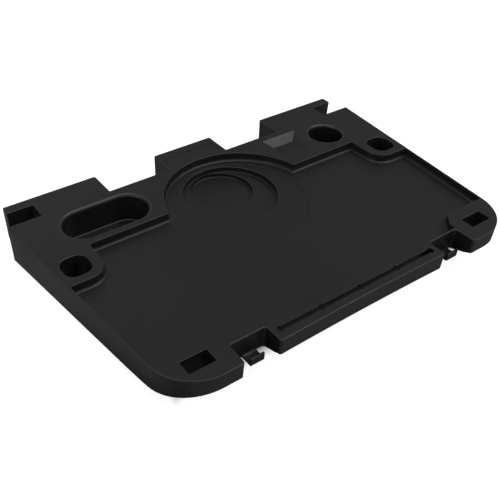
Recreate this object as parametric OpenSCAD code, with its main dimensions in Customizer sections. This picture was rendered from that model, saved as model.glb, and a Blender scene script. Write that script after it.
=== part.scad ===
// Moulded work tray with rear lugs, can recesses, tool holes and two front spring hooks.
// X is to the right, Y to the back, Z up. The origin is the bottom centre of the whole part.

/* [Overall] */
// Width across the back of the shelf
back_w = 758; // [600:1:900]
// Width that the tapered sides would reach at the front edge
front_w = 663; // [560:1:860]
// Depth from the front edge to the tip of the rear lugs
depth = 500; // [430:1:620]
// Height of the rear corners, which is the height of the part
height = 70; // [58:1:90]
// Radius of the two front corners
corner_r = 78; // [50:1:95]

/* [Levels] */
// Drop from the shelf and rims to the work floor
step_h = 16; // [12:1:20]
// Thickness of the floor, shelf and pad plates
plate_t = 3.5; // [2.5:0.5:5]
// Thickness of upright walls
wall_t = 3.5; // [2.5:0.5:5]
// Height of the front face, which is the shallow end of the skirt
front_h = 28; // [24:1:34]
// Height of the skirt at the back of the front notches
notch_h = 40; // [36:1:46]
// Height of the skirt where its front upsweep begins
sweep_h = 50; // [46:1:56]
// Distance of that upsweep from the front edge
sweep_y = 117; // [100:1:150]

/* [Can recesses] */
// Radius of the large ring in the floor
ring_r = 119.4; // [100:0.2:125]
// Depth of the large ring
ring_d = 1; // [0.5:0.5:2]
// Radius of the gallon can recess
gallon_r = 85; // [80:0.5:90]
// Depth of the gallon can recess
gallon_d = 10.5; // [6:0.5:14]
// Radius of the quart can recess
quart_r = 57.9; // [52:0.1:62]
// Depth of the quart can recess below the gallon recess
quart_d = 8.5; // [4:0.5:12]
// Radius of the scooped step behind the cans
scoop_r = 139.7; // [125:0.1:145]
// Gap between the large ring's back and the back of the shelf
ring_gap = 12.8; // [9:0.1:20]
// Gap between the gallon recess's back and the ring's back
nest_gap = 4; // [3.8:0.1:6]
// Gap between the quart recess's back and the gallon recess's back
quart_gap = 0.2; // [0.1:0.1:2]
// Thickness of the quart recess's wall
quart_t = 2.5; // [1.5:0.5:3]
// Fit between the nested recesses and the plates round them
seat_fit = 0.05; // [0.02:0.01:0.1]

/* [Shelf] */
// Distance of the shelf's front step from its back edge
shelf_d = 112.4; // [100:0.2:122]
// Rim between a side hole and the front of its lobe
lobe_front = 15.5; // [10:0.5:20]
// Rim between a side hole and the inner side of its lobe
lobe_side = 18.4; // [12:0.2:24]
// Corner radius of the lobes
lobe_r = 34; // [20:1:38]

/* [Tool holes] */
// Length of the oval pocket
pocket_l = 155; // [130:1:160]
// Width of the oval pocket
pocket_w = 76; // [60:1:80]
// Depth of the oval pocket below the shelf
pocket_d = 54; // [35:1:56]
// Distance of the pocket's centre from the middle
pocket_x = 227.6; // [215:0.2:235]
// Distance of the pocket and round hole from the shelf's back edge
hole_row = 58.5; // [54:0.5:62]
// Radius of the round tool hole
round_r = 32.8; // [24:0.2:38]
// Distance of the round hole from the middle
round_x = 266.2; // [262:0.2:285]
// Width of the rounded-square side holes
side_w = 46; // [36:1:52]
// Corner radius of the side holes
side_r = 17; // [8:1:18]
// Distance of the side holes from the middle
side_x = 327.4; // [322:0.2:332]
// Distance of the side holes from the shelf's back edge
side_row = 147.7; // [140:0.5:150]
// Length of the tool holes' sleeves
sleeve_l = 45; // [30:1:48]

/* [Tapered cup] */
// Width of the tapered cup at its mouth
cup_w = 80; // [60:1:84]
// Depth from front to back of the tapered cup at its mouth
cup_l = 67; // [50:1:72]
// Depth of the tapered cup below the shelf
cup_d = 12.8; // [8:0.2:20]
// How far the cup's walls lean inwards
cup_in = 17; // [10:1:22]
// Distance of the tapered cup from the middle
cup_x = 181.6; // [178:0.2:186]
// Distance of the tapered cup from the shelf's back edge
cup_row = 49; // [44:0.5:58]

/* [Rear lugs] */
// How far the lugs stand behind the shelf
lug_d = 56; // [44:1:70]
// Distance of the side lugs' inner faces from the middle
lug_in = 188.5; // [160:0.5:220]
// Distance of the side lugs' tips from the middle
lug_out = 365; // [340:1:372]
// Distance of the tube slots' closed ends from the middle
tube_x = 318; // [300:1:330]
// Width of the tube slots
tube_w = 36; // [28:1:42]
// Half width of the middle lug
mid_w = 64.5; // [45:0.5:90]
// How much shorter the lugs' skirts are than the back wall
lug_up = 6; // [4:1:12]

/* [Front] */
// Depth of the raised front corner pads
pad_d = 71.5; // [68:0.5:85]
// Distance of the pads' inner corners from the middle
pad_in = 251; // [244:1:262]
// How far the pads' slanted inner edge falls for each millimetre inwards
pad_slant = 1.13; // [0.9:0.01:1.3]
// Distance of the notches' inner walls from the middle
notch_in = 166; // [150:1:176]
// Width of the notches
notch_w = 63; // [56:1:66]
// Depth of the notches
notch_d = 37; // [30:1:42]
// Setback of the rail's front face from the pads' front
rail_back = 4; // [0:0.5:8]
// Depth of the rail
rail_d = 30; // [26:1:34]
// Distance of the slot from the front edge
slot_row = 23; // [19:0.5:26]
// Width of the tool slot
slot_w = 7; // [4:0.5:9]
// Pitch of the round openings in the slot
slot_pitch = 76; // [60:1:76]
// Radius of the round openings in the slot
slot_r = 5.3; // [4.5:0.1:7]
// Radius of the rail's swellings round every other opening
swell_r = 17; // [14:0.5:18]
// Width of the corner sockets
socket_w = 43.4; // [30:0.2:46]
// Front to back size of the corner sockets
socket_l = 23.2; // [16:0.2:28]
// Distance of the corner sockets from the middle
socket_x = 279.4; // [274:0.2:284]
// Distance of the corner sockets from the front edge
socket_row = 37; // [33:0.5:40]
// Length of the corner sockets' sleeves
socket_h = 34; // [20:1:36]

/* [Spring hooks] */
// Width of each hook
hook_w = 24; // [16:1:26]
// Reach of each hook from the back of its notch
hook_l = 20; // [16:1:26]
// Thickness of the hook's tongue
hook_t = 4.5; // [3:0.5:6]
// Height of the hook's lip from the underside
hook_h = 14.5; // [10:0.5:18]
// Thickness of the lip
lip_t = 4.5; // [3:0.5:6]
// Place of the left hook's centre
hook_left_x = -193; // [-196:0.5:-190]
// Place of the right hook's centre
hook_right_x = 208.5; // [195:0.5:212]

/* [Underside] */
// Height of the stiffening ribs
rib_h = 12; // [6:1:16]
// Thickness of the stiffening ribs
rib_t = 3; // [2:0.5:4]

/* [Hidden] */
$fn = 96;

front_y = -depth / 2;
back_y = depth / 2;
shelf_y = back_y - lug_d;                 // back edge of the shelf
floor_z = height - step_h;
under_z = floor_z - plate_t;
rise = (back_w - front_w) / 2 / (shelf_y - front_y);   // how far a side leans out per depth
lean = atan(rise);
corner_y = front_y + corner_r;
corner_x = side_at(corner_y) - corner_r / cos(lean);
ring_y = shelf_y - ring_gap - ring_r;
ring_back = ring_y + ring_r;
gallon_y = ring_back - nest_gap - gallon_r;
quart_y = gallon_y + gallon_r - quart_gap - quart_r;
ring_z = floor_z - ring_d;
gallon_z = ring_z - gallon_d;
quart_z = gallon_z - quart_d;
scoop_y = shelf_y - 0.6 - scoop_r;
step_y = shelf_y - shelf_d;
hole_y = shelf_y - hole_row;
side_y = shelf_y - side_row;
cup_y = shelf_y - cup_row;
pad_y = front_y + pad_d;
notch_y = front_y + notch_d;              // back of the notches
notch_out = notch_in + notch_w;
rail_y = front_y + rail_back + rail_d;
slot_y = front_y + slot_row;
socket_y = front_y + socket_row;
lobe_in = side_x - side_w / 2 - lobe_side;
lobe_y = side_y - side_w / 2 - lobe_front;
hook_z = height - notch_h;                // underside of the hooks
eps = 1;                                  // how far cutters run past what they cut

// Half width of the tray at a given depth.
function side_at(y) = back_w / 2 - rise * (shelf_y - y);

// Mirrored pair of children about the middle.
module both() { children(); mirror([1, 0, 0]) children(); }

// Outline of the tray without its lugs, moved in by i, with true arcs at the front corners.
module outline(i = 0) {
    r = corner_r - i;
    half = [
        [0, shelf_y - i], [side_at(shelf_y - i) - i / cos(lean), shelf_y - i],
        [corner_x + r * cos(lean), corner_y - r * sin(lean)],
        [corner_x, front_y + i], [0, front_y + i]];
    both() {
        polygon(half);
        translate([corner_x, corner_y]) circle(r);
    }
}

// Everything that the skirt may fill: a side view whose lower edge sweeps up to the front.
module skirt() {
    side = [
        [shelf_y, height], [shelf_y, 0],
        [front_y + sweep_y, height - sweep_h], [notch_y, height - notch_h],
        [front_y, height - front_h], [front_y - eps, height - front_h], [front_y - eps, height]];
    rotate([90, 0, 90]) linear_extrude(back_w, center = true) polygon(side);
}

// Shelf area on the right, moved in by i, up to the back wall and the scoop behind the cans.
module shelf_area(i = 0) {
    difference() {
        intersection() {
            outline(wall_t + i);
            union() {
                translate([0, step_y + i]) square([back_w, shelf_d]);
                translate([lobe_in + lobe_r, lobe_y + i]) square([back_w, shelf_d]);
                translate([lobe_in + i, lobe_y + lobe_r]) square([back_w, shelf_d]);
                translate([lobe_in + lobe_r, lobe_y + lobe_r]) circle(lobe_r - i);
            }
        }
        translate([0, scoop_y]) circle(scoop_r + i);
    }
}

// Raised strip along the front: rail, its swellings, notch walls and corner pads, moved in by i.
module strip_area(i = 0) {
    translate([-notch_in + wall_t, front_y]) square([2 * (notch_in - wall_t), rail_y - front_y - i]);
    for (x = [-2, 0, 2] * slot_pitch)
        intersection() {
            translate([x, slot_y]) circle(swell_r - i);
            translate([-notch_in + wall_t, front_y]) square([2 * (notch_in - wall_t), pad_d]);
        }
    both() pad_area(i);
}

// Corner pad on the right with its slanted inner edge, moved in by i.
module pad_area(i = 0) {
    x = notch_out + wall_t;
    low = pad_y - (pad_in - x) * pad_slant;
    grow = i * sqrt(1 + pad_slant * pad_slant);
    polygon([
        [x, front_y - eps], [x, low - grow], [pad_in + (grow - i) / pad_slant, pad_y - i],
        [back_w, pad_y - i], [back_w, front_y - eps]]);
}

// Square with rounded corners, centred.
module rounded(w, l, r) {
    square([w - 2 * r, l], center = true);
    square([w, l - 2 * r], center = true);
    for (x = [-1, 1], y = [-1, 1]) translate([x * (w / 2 - r), y * (l / 2 - r)]) circle(r);
}

// Oval outline of the tool pocket, grown by i.
module oval(i = 0) {
    r = pocket_w / 2 + i;
    square([pocket_l - pocket_w, 2 * r], center = true);
    for (s = [-1, 1]) translate([s * (pocket_l - pocket_w) / 2, 0]) circle(r);
}

// Outline of the left (s = -1) or right (s = 1) side hole, grown by i.
module side_hole(i = 0) { rounded(side_w + 2 * i, side_w + 2 * i, side_r + i); }

// Straight-sided block that narrows downwards by lean on every side over the height h.
module hopper(w, l, h, lean_in) {
    intersection() {
        rotate([90, 0, 0]) linear_extrude(l + 2, center = true)
            polygon([[-w / 2, h], [w / 2, h], [w / 2 - lean_in, 0], [-w / 2 + lean_in, 0]]);
        rotate([90, 0, 90]) linear_extrude(w + 2, center = true)
            polygon([[-l / 2, h], [l / 2, h], [l / 2 - lean_in, 0], [-l / 2 + lean_in, 0]]);
    }
}

module work_floor() {
    color("dimgray") translate([0, 0, under_z]) linear_extrude(plate_t) difference() {
        outline(wall_t);
        both() shelf_area();
        strip_area();
        both() translate([notch_in - wall_t, front_y - eps])
            square([notch_w + 2 * wall_t, notch_d + wall_t + eps]);
        translate([0, ring_y]) circle(ring_r + seat_fit);
    }
}

// Plate of the large shallow ring.
module ring_seat() {
    color("slategray") translate([0, 0, under_z]) difference() {
        translate([0, ring_y]) cylinder(r = ring_r, h = plate_t - ring_d);
        translate([0, gallon_y, -eps]) cylinder(r = gallon_r + wall_t + seat_fit, h = plate_t + 2 * eps);
    }
}

// Round wall and floor of the gallon can recess.
module gallon_seat() {
    color("slategray") difference() {
        translate([0, gallon_y, gallon_z - plate_t]) cylinder(r = gallon_r + wall_t, h = gallon_d + plate_t);
        translate([0, gallon_y, gallon_z]) cylinder(r = gallon_r, h = gallon_d + eps);
        translate([0, quart_y, gallon_z - plate_t - eps])
            cylinder(r = quart_r + quart_t + seat_fit, h = plate_t + eps);
    }
}

// Round wall and floor of the quart can recess.
module quart_seat() {
    color("lightslategray") difference() {
        translate([0, quart_y, quart_z - plate_t]) cylinder(r = quart_r + quart_t, h = quart_d + plate_t);
        translate([0, quart_y, quart_z]) cylinder(r = quart_r, h = quart_d + eps);
    }
}

// Shelf plate with its step wall down to the underside of the floor.
module shelf_body() {
    translate([0, 0, height - plate_t]) linear_extrude(plate_t) shelf_area();
    translate([0, 0, under_z]) linear_extrude(step_h) difference() {
        shelf_area();
        shelf_area(wall_t);
        // the side wall and back wall stand there already
        translate([0, shelf_y - 2 * wall_t]) square([back_w, 3 * wall_t]);
        difference() {
            translate([0, front_y]) square([back_w, depth]);
            outline(2 * wall_t);
        }
    }
}

module shelf_left() {
    color("gray") difference() {
        mirror([1, 0, 0]) shelf_body();
        translate([-pocket_x, hole_y, under_z - eps]) linear_extrude(step_h * 2) oval(wall_t);
        translate([-side_x, side_y, under_z - eps]) linear_extrude(step_h * 2) side_hole(wall_t);
    }
}

module shelf_right() {
    color("gray") difference() {
        shelf_body();
        translate([round_x, hole_y, under_z - eps]) cylinder(r = round_r + wall_t, h = step_h * 2);
        translate([side_x, side_y, under_z - eps]) linear_extrude(step_h * 2) side_hole(wall_t);
        translate([cup_x, cup_y, height - cup_d - plate_t])
            hopper(cup_w + 2 * wall_t, cup_l + 2 * wall_t, cup_d + plate_t, cup_in);
    }
}

module tool_pocket() {
    color("darkslategray") translate([-pocket_x, hole_y, height - pocket_d - plate_t]) difference() {
        linear_extrude(pocket_d + plate_t) oval(wall_t);
        translate([0, 0, plate_t]) linear_extrude(pocket_d + eps) oval();
    }
}

module tapered_cup() {
    color("darkslategray") translate([cup_x, cup_y, height - cup_d - plate_t]) difference() {
        hopper(cup_w + 2 * wall_t, cup_l + 2 * wall_t, cup_d + plate_t, cup_in);
        translate([0, 0, plate_t]) hopper(cup_w, cup_l, cup_d, cup_in - 0.5);
    }
}

module side_sleeve(s) {
    translate([s * side_x, side_y, height - sleeve_l]) linear_extrude(sleeve_l) difference() {
        side_hole(wall_t);
        side_hole();
    }
}

module sleeve_left() { color("darkslategray") side_sleeve(-1); }
module sleeve_right() { color("darkslategray") side_sleeve(1); }

module sleeve_round() {
    color("darkslategray") translate([round_x, hole_y, height - sleeve_l]) difference() {
        cylinder(r = round_r + wall_t, h = sleeve_l);
        translate([0, 0, -eps]) cylinder(r = round_r, h = sleeve_l + 2 * eps);
    }
}

// Right side wall with its rim, between the corner pad and the back wall.
module side_body() {
    intersection() {
        linear_extrude(height) difference() {
            outline();
            outline(wall_t);
            translate([-back_w, front_y]) square([back_w, depth]);
            translate([0, front_y - eps]) square([back_w, pad_d + eps]);
            translate([0, shelf_y - wall_t]) square([back_w, 2 * wall_t]);
        }
        skirt();
    }
}

module side_left() { color("lightslategray") mirror([1, 0, 0]) side_body(); }
module side_right() { color("lightslategray") side_body(); }

module back_wall() {
    color("lightslategray") difference() {
        linear_extrude(height) intersection() {
            outline();
            translate([-back_w / 2, shelf_y - wall_t]) square([back_w, 2 * wall_t]);
        }
        translate([0, scoop_y, under_z]) cylinder(r = scoop_r, h = height);
    }
}

// Right front corner: pad plate, step wall, skirt and socket.
module corner_body() {
    difference() {
        union() {
            translate([0, 0, height - plate_t]) linear_extrude(plate_t) intersection() {
                outline();
                pad_area();
            }
            translate([0, 0, under_z]) linear_extrude(step_h) intersection() {
                outline();
                difference() {
                    pad_area();
                    pad_area(wall_t);
                    translate([notch_out, front_y - eps]) square([wall_t + eps, notch_d + eps]);
                }
            }
            intersection() {
                linear_extrude(height) intersection() {
                    pad_area();
                    difference() { outline(); outline(wall_t); }
                }
                skirt();
            }
            translate([socket_x, socket_y, height - socket_h])
                linear_extrude(socket_h) square([socket_w + 2 * wall_t, socket_l + 2 * wall_t], center = true);
        }
        translate([socket_x, socket_y, height - socket_h - eps])
            linear_extrude(socket_h + 2 * eps) square([socket_w, socket_l], center = true);
    }
}

module corner_left() { color("gray") mirror([1, 0, 0]) corner_body(); }
module corner_right() { color("gray") corner_body(); }

// Slot with its round openings.
module slot_area() {
    square([4 * slot_pitch, slot_w], center = true);
    for (i = [-2:2]) translate([i * slot_pitch, 0]) circle(slot_r);
}

module front_rail() {
    half = notch_in - wall_t;
    color("gray") difference() {
        union() {
            translate([0, 0, height - plate_t]) linear_extrude(plate_t) rail_area();
            translate([0, 0, under_z]) linear_extrude(step_h) difference() {
                rail_area();
                rail_area(wall_t);
                translate([-half, front_y]) square([2 * half, rail_d / 2]);
            }
            intersection() {
                translate([-half, front_y + rail_back]) cube([2 * half, wall_t, height]);
                skirt();
            }
        }
        translate([0, slot_y, height - plate_t - eps]) linear_extrude(plate_t + 2 * eps) slot_area();
    }
}

// Outline of the rail with its swellings, moved in by i.
module rail_area(i = 0) {
    half = notch_in - wall_t;
    difference() {
        strip_area(i);
        both() translate([half, front_y - eps]) square([back_w, depth]);
        translate([-half, front_y - eps]) square([2 * half, rail_back + eps]);
    }
}

// Upright wall round three sides of the right notch.
module notch_body() {
    intersection() {
        linear_extrude(height) difference() {
            translate([notch_in - wall_t, front_y]) square([notch_w + 2 * wall_t, notch_d + wall_t]);
            translate([notch_in, front_y - eps]) square([notch_w, notch_d + eps]);
            translate([notch_in - wall_t - eps, front_y - eps]) square([wall_t + 2 * eps, rail_back + eps]);
        }
        skirt();
    }
}

module notch_left() { color("lightslategray") mirror([1, 0, 0]) notch_body(); }
module notch_right() { color("lightslategray") notch_body(); }

// Right lug: plate and skirt with a tube slot that opens outwards.
module lug_body() {
    translate([0, 0, height - plate_t]) linear_extrude(plate_t) lug_area();
    translate([0, 0, lug_up]) linear_extrude(height - lug_up) difference() {
        lug_area();
        lug_area(wall_t);
    }
}

// Outline of the right lug, moved in by i except where it joins the back wall.
module lug_area(i = 0) {
    lip_y = shelf_y + tube_w;
    polygon([
        [lug_in + i, shelf_y - (i > 0 ? eps : 0)], [tube_x - i, shelf_y - (i > 0 ? eps : 0)],
        [tube_x - i, lip_y + i], [lug_out - i, lip_y + i],
        [lug_out - i, back_y - i], [lug_in + i, back_y - i]]);
}

module lug_left() { color("gray") mirror([1, 0, 0]) lug_body(); }
module lug_right() { color("gray") lug_body(); }

module lug_middle() {
    color("gray") translate([-mid_w, shelf_y, lug_up]) difference() {
        cube([2 * mid_w, lug_d, height - lug_up]);
        translate([wall_t, wall_t, -plate_t])
            cube([2 * (mid_w - wall_t), lug_d - 2 * wall_t, height - lug_up]);
    }
}

// Ribs under the floor, in front of the can recesses.
module ribs() {
    rib_y = gallon_y - gallon_r - 3 * wall_t;
    rib_front = pad_y + 2 * wall_t;
    color("darkgray") translate([0, 0, under_z - rib_h]) {
        for (y = [rib_front, rib_y]) translate([-notch_out - 40, y - rib_t, 0])
            cube([2 * notch_out + 80, rib_t, rib_h]);
        for (i = [-3:3]) translate([i * notch_out / 3 - rib_t / 2, rib_front - rib_t, 0])
            cube([rib_t, rib_y - rib_front + rib_t, rib_h]);
    }
}

// Hook: a flat tongue with an upturned lip.
module hook(x) {
    translate([x - hook_w / 2, notch_y - hook_l, hook_z]) {
        cube([hook_w, hook_l, hook_t]);
        cube([hook_w, lip_t, hook_h]);
    }
}

module hook_left() { color("orange") hook(hook_left_x); }
module hook_right() { color("orange") hook(hook_right_x); }

work_floor();
ring_seat();
gallon_seat();
quart_seat();
shelf_left();
shelf_right();
tool_pocket();
tapered_cup();
sleeve_left();
sleeve_right();
sleeve_round();
side_left();
side_right();
back_wall();
corner_left();
corner_right();
front_rail();
notch_left();
notch_right();
lug_left();
lug_middle();
lug_right();
ribs();
hook_left();
hook_right();
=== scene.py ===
import math

import bmesh
import bpy
import numpy as np
from mathutils.geometry import delaunay_2d_cdt
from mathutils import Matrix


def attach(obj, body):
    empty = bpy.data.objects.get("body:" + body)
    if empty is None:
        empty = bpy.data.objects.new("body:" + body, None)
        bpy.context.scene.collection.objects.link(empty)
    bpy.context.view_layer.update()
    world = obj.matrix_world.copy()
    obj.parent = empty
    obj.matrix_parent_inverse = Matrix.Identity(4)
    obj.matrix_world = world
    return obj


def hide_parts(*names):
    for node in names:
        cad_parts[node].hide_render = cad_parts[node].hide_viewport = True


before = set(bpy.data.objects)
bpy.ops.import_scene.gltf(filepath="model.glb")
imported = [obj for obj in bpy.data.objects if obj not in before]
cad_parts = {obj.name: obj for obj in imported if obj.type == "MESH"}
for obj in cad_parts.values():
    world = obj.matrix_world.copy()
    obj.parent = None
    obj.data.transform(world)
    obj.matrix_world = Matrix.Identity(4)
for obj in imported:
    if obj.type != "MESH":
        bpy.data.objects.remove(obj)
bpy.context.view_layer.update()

# ---------------------------------------------------------------- camera
# Above the front left corner, level with the horizon from side to side.
view = bpy.data.cameras.new("view")
view.sensor_width = 36
view.lens = 49.39
view.shift_x, view.shift_y = 0.1319, -0.0604
camera = bpy.data.objects.new("view", view)
camera.location = (-0.6264, -0.7047, 0.7559)
camera.rotation_euler = (math.radians(52.9), 0, math.radians(-33.48))
bpy.context.scene.collection.objects.link(camera)
bpy.context.scene.camera = camera

# ---------------------------------------------------------------- outer walls and rear lugs
# The tray is one injection moulding in black plastic, 758 mm wide and 500 mm deep. Its outer
# wall runs round the two front notches and the three rear lugs, leans in a little on its way
# down so that it leaves the mould, and ends in a skirt that sweeps up to a shallow front.
TOP, FLOOR, WALL = 70.0, 54.0, 3.5          # mm: shelf and rims, work floor, wall thickness
FRONT, SHELF_BACK, LUG_BACK = -250.0, 194.0, 250.0
SIDE_LEAN = 47.5 / 444                      # how far the sides spread for each mm of depth
CORNER_R = 78.0                             # front corners
NOTCH_IN, NOTCH_OUT, NOTCH_BACK = 166.0, 229.0, -213.0
RAIL_FRONT, BOW = -246.0, 2.2               # rail's front face and how far it bows in
LUG_IN, LUG_OUT, LUG_MIDDLE = 188.5, 365.0, 64.5
TUBE_X, TUBE_BACK = 318.0, 230.0            # closed end and back side of the tube slots
moulding = []                               # every surface of the moulding: points, faces, painted edge highlight


def side_x(y, inset=0.0):
    """Half width at depth y: the width at the shelf less the lean times the way to the front."""
    return 379 - SIDE_LEAN * (SHELF_BACK - y) - inset * math.hypot(1, SIDE_LEAN)


def path(corners, step=8.0, turn=6.0):
    """Closed path round corners (x, y, r), counterclockwise. A corner with a radius becomes an
    arc tangent to both sides: it starts r times the tangent of half its turn before the corner,
    and its normal turns evenly from one side's to the next. A corner with none stays one point.
    Each point has its normal and its mitre: the corner it belongs to, the corner's push, which is
    both normals' sum over one plus their dot product, and how far the arc may move before it
    shrinks to nothing, inwards as a negative number and outwards as a positive one."""
    at = np.array(corners, float)
    xy, r = at[:, :2], at[:, 2]
    out = np.roll(xy, -1, 0) - xy
    long = np.linalg.norm(out, axis=1)
    out = out / long[:, None]
    came = np.roll(out, 1, 0)
    bend = np.arctan2(came[:, 0] * out[:, 1] - came[:, 1] * out[:, 0], (came * out).sum(1))
    cut = r * np.tan(abs(bend) / 2)
    n_in = np.stack([came[:, 1], -came[:, 0]], 1)
    n_out = np.stack([out[:, 1], -out[:, 0]], 1)
    mitre = (n_in + n_out) / (1 + (n_in * n_out).sum(1))[:, None]
    points, pushes, owner, limit = [], [], [], []
    for i in range(len(at)):
        s = math.copysign(1, bend[i])
        if r[i] > 0:
            k = max(2, math.ceil(math.degrees(abs(bend[i])) / turn))
            a = math.atan2(n_in[i, 1], n_in[i, 0]) + bend[i] * np.linspace(0, 1, k + 1)
            n = np.stack([np.cos(a), np.sin(a)], 1)
            points.append(xy[i] - cut[i] * came[i] - s * r[i] * n_in[i] + s * r[i] * n)
        else:
            n = mitre[i][None]
            points.append(xy[i][None])
        j = (i + 1) % len(at)
        run = long[i] - cut[i] - cut[j]
        if run < -1e-6:
            raise ValueError(f"corner {i} of a path has no room for its radius")
        t = np.linspace(0, run, max(1, math.ceil(run / step)) + 1)[1:-1, None]
        points.append(xy[i] + (cut[i] + t) * out[i])
        pushes += [n, np.repeat(n_out[i][None], len(t), 0)]
        owner += [np.full(len(n) + len(t), i)]
        limit += [np.full(len(n), -s * r[i] if r[i] > 0 else np.inf), np.full(len(t), np.inf)]
    points, pushes, owner, limit = map(np.concatenate, (points, pushes, owner, limit))
    new = np.linalg.norm(points - np.roll(points, 1, 0), axis=1) > 1e-5
    return points[new], pushes[new], xy[owner][new], mitre[owner][new], limit[new]


def moved(way, d):
    """The path moved out by d: each point goes along its normal, and an arc that would have shrunk
    to nothing by then lies at its corner's mitre."""
    points, pushes, corner, mitre, limit = way
    d = np.broadcast_to(d, len(points))[:, None]
    gone = (np.sign(limit)[:, None] * d > abs(limit)[:, None])
    return np.where(gone, corner + d * mitre, points + d * pushes)


def mirrored(corners):
    """The same corners on the other side of the middle, in the order that keeps them turning left."""
    return [(-x, y, r) for x, y, r in reversed(corners)]


def arc(cx, cy, r, start, end, k):
    """k + 1 plain corners along an arc: the centre plus r times the cosine and sine of each angle."""
    a = np.radians(np.linspace(start, end, k + 1))
    return [(cx + r * math.cos(t), cy + r * math.sin(t), 0) for t in a]


def carry(way, rows, painted_highlight=None):
    """A profile carried along a path: row k is the path moved by that row's push times the path's
    normals, at that row's height. Rows may hold one number or one for each point of the path."""
    n, k = len(way[0]), len(rows)
    xy = np.array([moved(way, row[0]) for row in rows])
    z = np.array([np.broadcast_to(row[1], n) for row in rows])
    v = np.concatenate([xy, z[:, :, None]], 2)
    i = np.arange(k * n).reshape(k, n)
    j = np.roll(i, -1, 1)
    faces = np.stack([i[:-1], j[:-1], j[1:], i[1:]], 2).reshape(-1, 4)
    # glow: the painted highlight along rounded edges, one share for each row of the profile.
    glow = np.zeros((k, n))
    if painted_highlight is not None:
        glow += np.asarray(painted_highlight, float)[:, None]
    moulding.append((v.reshape(-1, 3), faces.tolist(), glow.ravel()))
    return v


def roll_over(f, z=TOP, k=6, side=1):
    """Rows of a rounded top edge of radius f: from the flat, f behind the wall, round a quarter
    circle to the wall. side 1 has the flat outside the path and side -1 inside it."""
    a = np.linspace(0, math.pi / 2, k + 1)
    return [(side * (f - f * math.sin(t)), z - f + f * math.cos(t)) for t in a]


def roll_in(d, r, z, k=6, side=-1):
    """Rows of a hollow base fillet of radius r: from the wall at push d, round a quarter circle to
    the floor at height z, away to the given side."""
    b = np.linspace(0, math.pi / 2, k + 1)
    return [(d + side * (r - r * math.cos(t)), z + r - r * math.sin(t)) for t in b]


def flat(*loops):
    """A plate between an outer loop and the loops inside it, each given as points with heights:
    the Delaunay triangles of all the loops whose middle lies inside an odd number of them, with
    each corner at its own point's height."""
    v = np.concatenate(loops)
    first = np.cumsum([0] + [len(p) for p in loops])
    edges = [(int(a + i), int(a + (i + 1) % (b - a))) for a, b in zip(first, first[1:]) for i in range(b - a)]
    xy, _, faces, origin, _, _ = delaunay_2d_cdt(v[:, :2].tolist(), edges, [], 1, 1e-6)
    if any(len(o) == 0 for o in origin):
        crossed = [tuple(p) for p, o in zip(xy, origin) if not o]
        raise ValueError(f"the loops of a plate cross near {crossed[:4]}")
    points = v[[o[0] for o in origin]]
    mid = points[np.array(faces)].mean(1)[:, None]
    p, q = v[np.array(edges)[:, 0]], v[np.array(edges)[:, 1]]
    spans = (p[:, 1] > mid[..., 1]) != (q[:, 1] > mid[..., 1])
    rise = np.where(q[:, 1] == p[:, 1], 1, q[:, 1] - p[:, 1])
    across = p[:, 0] + (mid[..., 1] - p[:, 1]) * (q[:, 0] - p[:, 0]) / rise
    inside = (spans & (mid[..., 0] < across)).sum(1) % 2 == 1
    moulding.append((points, [f for f, keep in zip(faces, inside) if keep], np.zeros(len(points))))


def skirt_z(y):
    """Height of the skirt's lower edge at depth y: it rises evenly from the back, then with the
    cube of the last stretch to the front. Behind the back wall the lugs' skirts end 6 mm higher."""
    t = SHELF_BACK - np.asarray(y, float)
    s = np.clip(-t / 6, 0, 1)
    return 0.0612 * np.maximum(t, 0) + 4.96e-6 * np.maximum(t - 300, 0) ** 3 + 6 * s * s * (3 - 2 * s)


def bowed(y, half):
    """Plain corners along the rail's front face, which bows in as a parabola: the bow times one less
    the square of the share of the half width."""
    return [(x, y + BOW * (1 - (x / half) ** 2), 0) for x in np.linspace(-half, half, 13)[1:-1]]


outline = path([
    (-side_x(FRONT), FRONT, CORNER_R),
    (-NOTCH_OUT, FRONT, 5), (-NOTCH_OUT, NOTCH_BACK, 5),
    (-NOTCH_IN, NOTCH_BACK, 5), (-NOTCH_IN, RAIL_FRONT, 5),
    *bowed(RAIL_FRONT, NOTCH_IN),
    (NOTCH_IN, RAIL_FRONT, 5), (NOTCH_IN, NOTCH_BACK, 5),
    (NOTCH_OUT, NOTCH_BACK, 5), (NOTCH_OUT, FRONT, 5),
    (side_x(FRONT), FRONT, CORNER_R),
    (379, SHELF_BACK, 2), (TUBE_X, SHELF_BACK, 1.5), (TUBE_X, TUBE_BACK, 1.5), (LUG_OUT, TUBE_BACK, 1.5),
    (LUG_OUT, LUG_BACK, 2), (LUG_IN, LUG_BACK, 4.5), (LUG_IN, SHELF_BACK, 2),
    (LUG_MIDDLE, SHELF_BACK, 2), (LUG_MIDDLE, LUG_BACK, 3),
    (-LUG_MIDDLE, LUG_BACK, 4.5), (-LUG_MIDDLE, SHELF_BACK, 2),
    (-LUG_IN, SHELF_BACK, 2), (-LUG_IN, LUG_BACK, 4.5), (-LUG_OUT, LUG_BACK, 2),
    (-LUG_OUT, TUBE_BACK, 1.5), (-TUBE_X, TUBE_BACK, 1.5), (-TUBE_X, SHELF_BACK, 1.5), (-379, SHELF_BACK, 2)])
DRAFT = math.tan(math.radians(1.2))
TOP_EDGE, RIM = 1.5, 0.8                    # rounding of the top edges and of the skirt's lower rim
THIRDS = np.radians([30, 60, 90])
low = skirt_z(np.where(abs(outline[4]) < 6, outline[2][:, 1], outline[0][:, 1]))   # level round tight corners
drop = TOP - low - TOP_EDGE - RIM
rows = roll_over(TOP_EDGE, side=-1)
rows += [(-DRAFT * (1 - t) * drop, TOP - TOP_EDGE - (1 - t) * drop) for t in (0.66, 0.33, 0)]
rows += [(rows[-1][0] - RIM + RIM * math.cos(b), low + RIM - RIM * math.sin(b)) for b in THIRDS]
outer = carry(outline, rows, [0, .5, .87, 1, .87, .5, 0, 0, 0, 0, .5, .5, 0])

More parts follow.
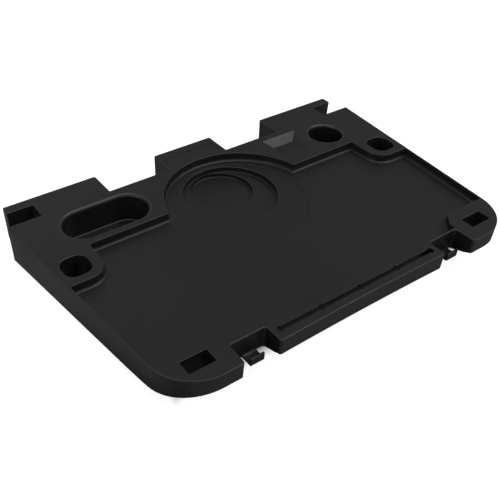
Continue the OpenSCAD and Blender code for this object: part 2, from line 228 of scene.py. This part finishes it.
# ---------------------------------------------------------------- work well
# The work floor lies 16 mm below the shelf. Its edge steps round the lobes of the side holes,
# the scoop behind the paint cans, the corner pads and the tool rail, and every step stands on
# a 5.4 mm hollow fillet.
STEP_Y, LOBE_Y, LOBE_X = 81.6, 7.8, 286.0
right = [(232.5, -209.5, 2), (232.5, -199.4, 1.5), (251, -178.5, 1.5),
         (side_x(-178.5, WALL), -178.5, 2), (side_x(LOBE_Y, WALL), LOBE_Y, 2),
         (LOBE_X, LOBE_Y, 34), (LOBE_X, STEP_Y, 2), (136.87, STEP_Y, 1.3)]
SCOOP_Y, SCOOP_R = 53.7, 139.7
scoop = arc(0, SCOOP_Y, SCOOP_R, 14, 166, 54)
rail = [(-152, -209.5, 0), *arc(-152, -227, 17.5, 83, 51, 4), (-138.4, -216, 3.9),
        (-13.6, -216, 3.9), *arc(0, -227, 17.5, 129, 51, 9), (13.6, -216, 3.9),
        (138.4, -216, 3.9), *arc(152, -227, 17.5, 129, 97, 4), (152, -209.5, 0)]
well = path(rail + right + scoop + mirrored(right))
WELL_EDGE, WELL_FILLET = 1.2, 5.4
rows = roll_over(WELL_EDGE) + roll_in(-0.2, WELL_FILLET, FLOOR, k=8)
well_wall = carry(well, rows, [0, .5, .87, 1, .87, .5, 0] + [0] * 9)

# ---------------------------------------------------------------- nested can recesses
# Three shallow round recesses touch at the back, so that a can of any size stands in the same
# place: a 1 mm deep ring, a seat for a gallon can and a seat for a quart can.
STEPS = 180
around = np.radians(np.arange(STEPS) * 360 / STEPS)
compass = np.stack([np.cos(around), np.sin(around)], 1)


def circle(cx, cy, r):
    """Circle as a path: the centre plus r times the compass directions."""
    points = np.array([cx, cy]) + r * compass
    return points, compass, points, compass, np.full(STEPS, np.inf)


RING, GALLON, QUART = (61.8, 119.4), (92.2, 85.0), (119.1, 57.5)   # centre's depth, radius
RING_Z, GALLON_Z, QUART_Z = 53.0, 42.5, 34.0
gap = GALLON[1] - QUART[1] - (QUART[0] - GALLON[0]) * compass[:, 1]   # room between the two walls
base = np.minimum(2.2, 0.55 * gap)
edge = np.minimum(0.9, 0.3 * gap)
carry(circle(0, *RING), [(0.4, FLOOR), (0.28, 53.93), (0, 53.5), (-0.3, 53.1), (-0.5, RING_Z)])
gallon = circle(0, *GALLON)
rows = roll_over(1.0, RING_Z) + [(0, GALLON_Z + base)] + roll_in(0, base, GALLON_Z)[1:]
gallon_wall = carry(gallon, rows, [0, .5, .87, 1, .87, .5] + [0] * 8)
quart = circle(0, *QUART)
rows = roll_over(edge, GALLON_Z) + roll_in(0, 2.2, QUART_Z)
quart_wall = carry(quart, rows, [0, .5, .87, 1, .87, .5] + [0] * 8)
i = np.arange(STEPS)
j = (i + 1) % STEPS
moulding.append((np.concatenate([gallon_wall[-1], quart_wall[0]]),
                 np.stack([i, j, j + STEPS, i + STEPS], 1).tolist(), np.zeros(2 * STEPS)))
ring_wall = [circle(0, RING[0], RING[1] + 0.4)[0], circle(0, RING[0], RING[1] - 0.5)[0]]


def level(points, z):
    """Points given one height."""
    return np.column_stack([points, np.full(len(points), float(z))])


flat(well_wall[-1], level(ring_wall[0], FLOOR))
flat(level(ring_wall[1], RING_Z), gallon_wall[0])
flat(quart_wall[-1])

# ---------------------------------------------------------------- tool pocket, round hole and side holes
# The oval pocket is a deep closed cup. The round hole and the two rounded-square side holes are
# open sleeves for hammers and drills. Each mouth rolls over a wide soft edge.
def sleeve(way, roll, end):
    """Open sleeve: rolled mouth, wall leaning in on its way down, rounded lower rim and outer wall."""
    lean = -DRAFT * (TOP - roll - end)
    rows = roll_over(roll, k=8) + [(lean / 2, (TOP - roll + end) / 2), (lean, end + RIM)]
    rows += [(lean + RIM - RIM * math.cos(b), end + RIM - RIM * math.sin(b)) for b in THIRDS]
    outside = lean + WALL - RIM
    rows += [(outside + RIM * math.sin(b), end + RIM - RIM * math.cos(b)) for b in (0, *THIRDS)]
    rows += [(WALL + 0.2, TOP - WALL)]
    return carry(way, rows, [0, .38, .7, .92, 1, .92, .7, .38, 0] + [0] * 10)


def box_corners(cx, cy, w, l, r):
    """Four corners of a rectangle about a centre, turning left."""
    return [(cx + i * w / 2, cy + j * l / 2, r) for i, j in ((-1, -1), (1, -1), (1, 1), (-1, 1))]


HOLE_Y, SIDE_Y = 135.5, 46.3
POCKET_L, POCKET_W, POCKET_Z, POCKET_ROLL = 155, 76, 16.0, 6.5
SLEEVE_END = 25
oval = path(box_corners(-227.6, HOLE_Y, POCKET_L, POCKET_W, POCKET_W / 2))
lean = -DRAFT * 44
rows = roll_over(POCKET_ROLL, k=8) + [(lean / 2, 41)] + roll_in(lean, 3.6, POCKET_Z)
pocket = carry(oval, rows, [0, .38, .7, .92, 1, .92, .7, .38, 0] + [0] * 8)
flat(pocket[-1])
under_pocket = carry(oval, [(3.7, TOP - WALL), (2.4, 15.5), (1.5, 13.4), (-0.5, 12.5)])
flat(under_pocket[-1])
round_hole = sleeve(path(arc(266.2, HOLE_Y, 32.8, 0, 355, 71)), 6.0, SLEEVE_END)
side_holes = [sleeve(path(box_corners(s * 327.4, SIDE_Y, 46, 46, 17)), 1.6, SLEEVE_END) for s in (-1, 1)]

# ---------------------------------------------------------------- tapered cup
# A shallow square cup for screws, whose four walls lean in steeply so that a finger can sweep
# them out.
CUP_Y = 145.0
cup_way = path(box_corners(181.6, CUP_Y, 80, 67, 0), step=100)
cup = carry(cup_way, [(0.6, 70), (0.1, 69.9), (-0.4, 69.55), (-16.2, 57.65), (-16.7, 57.3), (-17.3, 57.2)],
            [0, 1, .4, 0, 0, 0])
flat(cup[-1])
under_cup = carry(cup_way, [(1.17, TOP - WALL), (-15.8, 53.7)])
flat(under_cup[-1])

# ---------------------------------------------------------------- corner sockets
# A square socket goes down through each front pad for a level or a chisel.
SOCKET_END = 36
sockets = []
for s in (-1, 1):
    way = path(box_corners(s * 279.4, -213, 43.4, 23.2, 1.0))
    rows = roll_over(0.8, k=4) + [(0, 57), (-0.4, SOCKET_END + 0.6), (-0.1, SOCKET_END)]
    rows += [(2.8, SOCKET_END), (3.4, SOCKET_END + 0.6), (WALL, TOP - WALL)]
    sockets.append(carry(way, rows, [0, .7, 1, .7, 0] + [0] * 6))

# ---------------------------------------------------------------- tool slot
# One long slot in the front rail holds blades, and five round openings in it hold the shafts of
# screwdrivers.
HOLES = (-152, -76, 0, 76, 152)
SLOT_Y, SLOT_R = -227, 5.3                  # the slot's middle line and the openings' radius
slot_corners = arc(HOLES[0], SLOT_Y, SLOT_R, 41.3, 318.7, 18)
slot_corners += [c for x in HOLES[1:-1] for c in arc(x, SLOT_Y, SLOT_R, 221.3, 318.7, 6)]
slot_corners += arc(HOLES[-1], SLOT_Y, SLOT_R, 221.3, 498.7, 18)
slot_corners += [c for x in HOLES[-2:0:-1] for c in arc(x, SLOT_Y, SLOT_R, 41.3, 138.7, 6)]
slot = carry(path(slot_corners), roll_over(0.4, k=4) + [(0, TOP - WALL)])

# ---------------------------------------------------------------- name panel on the middle lug
# A shallow plain panel is sunk into the top of the middle lug.
panel_way = path(box_corners(0, 215.5, 111, 26, 1.0))
panel = carry(panel_way, [(0.3, 70), (0.05, 69.85), (0, 69.5), (-0.1, 69.3)])
flat(panel[-1])

flat(outer[0], well_wall[0], pocket[0], round_hole[0], side_holes[0][0], side_holes[1][0], cup[0],
     sockets[0][0], sockets[1][0], slot[0], panel[0])

# ---------------------------------------------------------------- underside
# The tray is an open-bottomed shell: the underside follows the top a wall's thickness below it,
# with a raised bay under the shelf, the pads and the rail, and a hollow in each lug.
UNDER, BAY = FLOOR - WALL, TOP - WALL
cavity = path([
    (-side_x(-246.5, WALL), -246.5, 74.5), (-232.5, -246.5, 1.5), (-232.5, -209.5, 8.5),
    (-162.5, -209.5, 8.5), (-162.5, -242.5, 1.5), *bowed(-242.5, 162.5), (162.5, -242.5, 1.5),
    (162.5, -209.5, 8.5), (232.5, -209.5, 8.5), (232.5, -246.5, 1.5),
    (side_x(-246.5, WALL), -246.5, 74.5), (side_x(190.5, WALL), 190.5, 2), (-side_x(190.5, WALL), 190.5, 2)])
inner = carry(cavity, [(0, skirt_z(cavity[0][:, 1])), (0, UNDER)])

shelf_bay = [(289.5, 11.3, 18.5), (side_x(11.3, 4.5), 11.3, 1), (side_x(189.5, 4.5), 189.5, 2),
             (46.3, 189.5, 0.5), *arc(0, SCOOP_Y, SCOOP_R + WALL, 69, 14, 20),
             (139.72, 85.1, 0), (289.5, 85.1, 2)]
bays = [path(shelf_bay), path(mirrored(shelf_bay))]
centre_x = side_x(-172) - CORNER_R * math.hypot(1, SIDE_LEAN)
pad_bay = [(233.5, -245.5, 1), *arc(centre_x, -172, 73.5, -90, -7.8, 16),
           (252.6, -182, 1), (233.5, -203.6, 1)]
bays += [path(pad_bay), path(mirrored(pad_bay))]
bays += [path([(-161.5, -241.5, 1), *bowed(-241.5, 161.5), (161.5, -241.5, 1),
               (161.5, -219.5, 1), (-161.5, -219.5, 1)])]
walls = [carry(b, [(0, UNDER), (0, BAY)]) for b in bays]
flat(walls[0][-1], round_hole[-1], side_holes[1][-1], under_cup[0])
flat(walls[1][-1], under_pocket[0], side_holes[0][-1])
flat(walls[2][-1], sockets[1][-1])
flat(walls[3][-1], sockets[0][-1])
flat(walls[4][-1], slot[-1])

gallon_under = carry(circle(0, GALLON[0], 88.5), [(0, UNDER), (0, 39.6), (-0.6, 39)])
quart_under = carry(circle(0, QUART[0], 59.8), [(0, 39), (0, 31.1), (-0.6, 30.5)])
flat(gallon_under[-1], quart_under[0])
flat(quart_under[-1])
flat(inner[-1], gallon_under[0], *[w[0] for w in walls])

lug_hollow = [(192, 197.7, 1), (314.5, 197.7, 1), (314.5, 233.5, 1),
              (361.5, 233.5, 1), (361.5, 246.5, 1), (192, 246.5, 1)]
hollows = [path(lug_hollow), path(mirrored(lug_hollow)), path(box_corners(0, 222.1, 122, 48.8, 1))]
hollow_walls = [carry(h, [(0, skirt_z(h[0][:, 1])), (0, BAY)]) for h in hollows]
for wall in hollow_walls:
    flat(wall[-1])
flat(outer[-1], inner[0], *[w[0] for w in hollow_walls])

# ---------------------------------------------------------------- the moulding
# All those surfaces meet edge to edge and are welded into one closed shell. The plastic is matte
# black with a fine spark-eroded grain, slightly clouded by the flow of the melt, with a painted
# highlight that makes it a little paler along the rounded edges.
def grain_and_highlight_group():
    """Shader group of the moulded plastic: fine grain and slow clouding from noise on the object's
    own coordinates, and a painted highlight mask that lightens the colour along the edges and smooths the
    grain."""
    g = bpy.data.node_groups.new("moulded_grain_and_highlight", "ShaderNodeTree")
    for name, kind, value in (("Color", "NodeSocketColor", (0.02, 0.02, 0.02, 1)),
                              ("Roughness", "NodeSocketFloat", 0.45),
                              ("Grain", "NodeSocketFloat", 0.2), ("Highlight", "NodeSocketFloat", 0.0)):
        g.interface.new_socket(name, in_out="INPUT", socket_type=kind).default_value = value
    for name, kind in (("Color", "NodeSocketColor"), ("Roughness", "NodeSocketFloat"),
                       ("Normal", "NodeSocketVector")):
        g.interface.new_socket(name, in_out="OUTPUT", socket_type=kind)
    add, join = g.nodes.new, g.links.new
    given, made, where = add("NodeGroupInput"), add("NodeGroupOutput"), add("ShaderNodeTexCoord")
    cloud, fine = add("ShaderNodeTexNoise"), add("ShaderNodeTexNoise")
    for noise, scale, detail in ((cloud, 9.0, 3.0), (fine, 1400.0, 2.0)):
        noise.inputs["Scale"].default_value, noise.inputs["Detail"].default_value = scale, detail
        join(where.outputs["Object"], noise.inputs["Vector"])

    def sums(operation, a, b, c=None):
        node = add("ShaderNodeMath")
        node.operation = operation
        for k, value in enumerate((a, b) if c is None else (a, b, c)):
            if isinstance(value, (int, float)):
                node.inputs[k].default_value = value
            else:
                join(value, node.inputs[k])
        return node.outputs[0]

    drift = sums("SUBTRACT", cloud.outputs["Fac"], 0.5)
    speck = sums("SUBTRACT", fine.outputs["Fac"], 0.5)
    tone = sums("MULTIPLY_ADD", drift, 0.35, sums("MULTIPLY_ADD", speck, 0.25, 1.0))
    # Painted highlight: the edge mask makes the colour paler, up to 3.2 times at its full share.
    shade = add("ShaderNodeVectorMath")
    shade.operation = "SCALE"
    join(given.outputs["Color"], shade.inputs[0])
    join(sums("MULTIPLY_ADD", given.outputs["Highlight"], 2.2, tone), shade.inputs["Scale"])
    join(shade.outputs[0], made.inputs["Color"])
    rough = sums("MULTIPLY_ADD", drift, 0.16, given.outputs["Roughness"])
    join(sums("MULTIPLY_ADD", given.outputs["Highlight"], -0.06, rough), made.inputs["Roughness"])
    bump = add("ShaderNodeBump")
    bump.inputs["Distance"].default_value = 0.00006
    join(given.outputs["Grain"], bump.inputs["Strength"])
    join(fine.outputs["Fac"], bump.inputs["Height"])
    join(bump.outputs["Normal"], made.inputs["Normal"])
    return g


grain = grain_and_highlight_group()


def black_plastic(name, color, rough, strength, edge):
    """Moulded plastic: the grain group feeding a Principled shader, with the painted edge highlight mask if
    asked.
    """
    m = bpy.data.materials.new(name)
    m.use_nodes = True
    nodes, join = m.node_tree.nodes, m.node_tree.links.new
    shader = nodes["Principled BSDF"]
    shader.inputs["IOR"].default_value = 1.48
    group = nodes.new("ShaderNodeGroup")
    group.node_tree = grain
    group.inputs["Color"].default_value = (*color, 1)
    group.inputs["Roughness"].default_value = rough
    group.inputs["Grain"].default_value = strength
    # The painted edge highlight, read from the points' "edge" attribute.
    if edge:
        mask = nodes.new("ShaderNodeAttribute")
        mask.attribute_name = "edge"
        join(mask.outputs["Fac"], group.inputs["Highlight"])
    join(group.outputs["Color"], shader.inputs["Base Color"])
    join(group.outputs["Roughness"], shader.inputs["Roughness"])
    join(group.outputs["Normal"], shader.inputs["Normal"])
    return m


def weld(name, surfaces, material, body, sharp=32):
    """One closed piece from its surfaces: points within a micrometre become one, faces turn
    outwards, and normals follow the larger faces so that flats stay flat beside their fillets."""
    first = np.cumsum([0] + [len(s[0]) for s in surfaces])
    points = np.concatenate([s[0] for s in surfaces]) / 1000
    faces = [[int(a + k) for k in f] for s, a in zip(surfaces, first) for f in s[1]]
    mesh = bpy.data.meshes.new(name)
    mesh.from_pydata(points, [], faces)
    # The painted highlight along the rounded edges goes on the points as the attribute "edge".
    highlight_mask = mesh.attributes.new("edge", "FLOAT", "POINT")
    highlight_mask.data.foreach_set("value", np.concatenate([s[2] for s in surfaces]))
    shell = bmesh.new()
    shell.from_mesh(mesh)
    bmesh.ops.remove_doubles(shell, verts=shell.verts, dist=2e-6)
    bmesh.ops.dissolve_degenerate(shell, edges=shell.edges, dist=1e-6)
    bmesh.ops.recalc_face_normals(shell, faces=shell.faces)
    loose = sum(1 for e in shell.edges if len(e.link_faces) != 2)
    if loose:
        print(f"{name}: {loose} open edges")
    shell.to_mesh(mesh)
    shell.free()
    mesh.shade_smooth()
    mesh.set_sharp_from_angle(angle=math.radians(sharp))
    mesh.materials.append(material)
    piece = bpy.data.objects.new(name, mesh)
    bpy.context.scene.collection.objects.link(piece)
    even = piece.modifiers.new("even", "WEIGHTED_NORMAL")
    even.keep_sharp, even.weight = True, 100
    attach(piece, body)
    return piece


BLACK = (0.0125, 0.0125, 0.0127)
tray_black = black_plastic("tray_black", BLACK, 0.42, 0.25, True)
shell = weld("tray_moulding", moulding, tray_black, "tray")
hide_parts(*[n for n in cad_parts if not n.startswith("hook") and n != "ribs"])

# ---------------------------------------------------------------- stiffening ribs
# Thin ribs under the work floor keep it flat. They are part of the same moulding.
rib_black = black_plastic("rib_black", BLACK, 0.5, 0.3, False)
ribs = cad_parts["ribs"]
ribs.data.materials.clear()
ribs.data.materials.append(rib_black)

# ---------------------------------------------------------------- spring hooks
# A plastic tongue stands out from the back of each front notch, with an upturned lip at its tip.
# It is moulded with the tray and bends down a few degrees when it snaps over a tube.
hook_black = black_plastic("hook_black", BLACK, 0.42, 0.25, True)


def hook_piece(name, x):
    """Side outline of tongue and lip, rounded at its corners, carried across the hook's width with
    a rounded edge at both ends. The outline is drawn in depth and height and turned into place."""
    side = path([(-232.7, 30.0, 2.2), (-210.4, 30.0, 0), (-210.4, 38.0, 0), (-212.4, 37.8, 0),
                 (-213.3, 36.2, 0), (-214.8, 35.0, 0), (-216.8, 34.5, 0), (-228.6, 34.5, 1.4),
                 (-228.8, 44.5, 1.6), (-232.7, 44.5, 1.6)], step=4, turn=10)
    start = len(moulding)
    a = np.radians(np.linspace(0, 90, 5))
    half, f = 12, 0.9
    rows = [(-f + f * math.sin(t), -half + f - f * math.cos(t)) for t in a]
    rows += [(-f + f * math.cos(t), half - f + f * math.sin(t)) for t in a]
    body = carry(side, rows, [0, .5, .87, 1, 0, 0, .87, .9, .5, 0])
    flat(body[0])
    flat(body[-1])
    surfaces = [(np.column_stack([v[:, 2] + x, v[:, 0], v[:, 1]]), faces, glow)
                for v, faces, glow in moulding[start:]]
    del moulding[start:]
    piece = weld(name + "_moulded", surfaces, hook_black, name)
    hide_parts(name)


hook_piece("hook_left", -193.0)
hook_piece("hook_right", 208.5)

# ---------------------------------------------------------------- floor and lights
# A plain white floor and background, with a broad light high on the right in front, one overhead
# and weak ones behind and on the left. The eye sees the floor white, with a painted shadow only
# under the tray, but it sends up less light to the tray, so that the upright walls stay dark.
ground = bpy.data.meshes.new("ground")
ground.from_pydata([(-8, -8, -0.001), (8, -8, -0.001), (8, 8, -0.001), (-8, 8, -0.001)], [], [(0, 1, 2, 3)])
white = bpy.data.materials.new("white_floor")
white.use_nodes = True
nodes, join = white.node_tree.nodes, white.node_tree.links.new
nodes.clear()
paint, dim = nodes.new("ShaderNodeBsdfDiffuse"), nodes.new("ShaderNodeBsdfDiffuse")
shine, seen = nodes.new("ShaderNodeEmission"), nodes.new("ShaderNodeLightPath")
choose, both = nodes.new("ShaderNodeMixShader"), nodes.new("ShaderNodeAddShader")
end = nodes.new("ShaderNodeOutputMaterial")
paint.inputs["Color"].default_value = (0.5, 0.5, 0.5, 1)
dim.inputs["Color"].default_value = (0.1, 0.1, 0.1, 1)
where, split = nodes.new("ShaderNodeTexCoord"), nodes.new("ShaderNodeSeparateXYZ")
join(where.outputs["Object"], split.inputs[0])


def floor_sum(operation, a, b):
    """One sum of the floor's light mask."""
    node = nodes.new("ShaderNodeMath")
    node.operation = operation
    for k, value in enumerate((a, b)):
        if isinstance(value, float):
            node.inputs[k].default_value = value
        else:
            join(value, node.inputs[k])
    return node.outputs[0]


SHADOW_X, SHADOW_Y, SHADOW_MORE = 0.29, 0.185, 0.06   # m: half of the painted shadow under the tray, and how much further it reaches for light sent to the tray; the two glows
SEEN, SENT = 0.9, 0.18                       # reaches for light sent to the tray; the two glows
# Painted shadow: the floor's glow fades to nothing under the tray, for the eye and, a little wider, for the
# light sent up to the tray.
out_x = floor_sum("SUBTRACT", floor_sum("ABSOLUTE", split.outputs["X"], 0.0), SHADOW_X)
out_y = floor_sum("SUBTRACT", floor_sum("ABSOLUTE", split.outputs["Y"], 0.0), SHADOW_Y)
unseen = floor_sum("SUBTRACT", 1.0, seen.outputs["Is Camera Ray"])
beyond = floor_sum("SUBTRACT", floor_sum("MAXIMUM", out_x, out_y), floor_sum("MULTIPLY", unseen, SHADOW_MORE))
clear = floor_sum("MULTIPLY", beyond, 40.0)
clear = floor_sum("MAXIMUM", floor_sum("MINIMUM", clear, 1.0), 0.0)
bright = floor_sum("ADD", floor_sum("MULTIPLY", seen.outputs["Is Camera Ray"], SEEN - SENT), SENT)
join(floor_sum("MULTIPLY", clear, bright), shine.inputs["Strength"])
join(seen.outputs["Is Camera Ray"], choose.inputs["Fac"])
join(dim.outputs[0], choose.inputs[1])
join(paint.outputs[0], choose.inputs[2])
join(choose.outputs[0], both.inputs[0])
join(shine.outputs[0], both.inputs[1])
join(both.outputs[0], end.inputs["Surface"])
ground.materials.append(white)
ground_piece = bpy.data.objects.new("ground", ground)
bpy.context.scene.collection.objects.link(ground_piece)

world = bpy.data.worlds.new("studio")
bpy.context.scene.world = world
world.use_nodes = True
sky = world.node_tree.nodes["Background"]
sky.inputs["Color"].default_value = (1, 1, 1, 1)
looked_at = world.node_tree.nodes.new("ShaderNodeLightPath")
glow = world.node_tree.nodes.new("ShaderNodeMath")
glow.operation = "MULTIPLY_ADD"
glow.inputs[1].default_value, glow.inputs[2].default_value = 0.78, 0.22
world.node_tree.links.new(looked_at.outputs["Is Camera Ray"], glow.inputs[0])
world.node_tree.links.new(glow.outputs[0], sky.inputs["Strength"])


def soft_light(name, place, aim, size, watts):
    """Square area light at a place, turned to face the point aimed at."""
    lamp = bpy.data.lights.new(name, "AREA")
    lamp.size, lamp.energy = size, watts
    o = bpy.data.objects.new(name, lamp)
    o.location = place
    way = np.array(aim, float) - np.array(place, float)
    o.rotation_euler = (math.acos(-way[2] / np.linalg.norm(way)), 0, math.atan2(way[1], way[0]) - math.pi / 2)
    bpy.context.scene.collection.objects.link(o)


soft_light("front_right", (1.5, -1.0, 2.4), (0, 0, 0), 1.8, 25)
soft_light("behind", (-0.1, 2.4, 2.0), (0, 0, 0), 2.2, 2.6)
soft_light("overhead", (-0.3, -0.2, 3.0), (0, 0, 0), 2.4, 20)
soft_light("left", (-2.4, -0.2, 0.5), (0, 0, 0), 1.4, 6)

bpy.context.scene.view_settings.view_transform = "Standard"
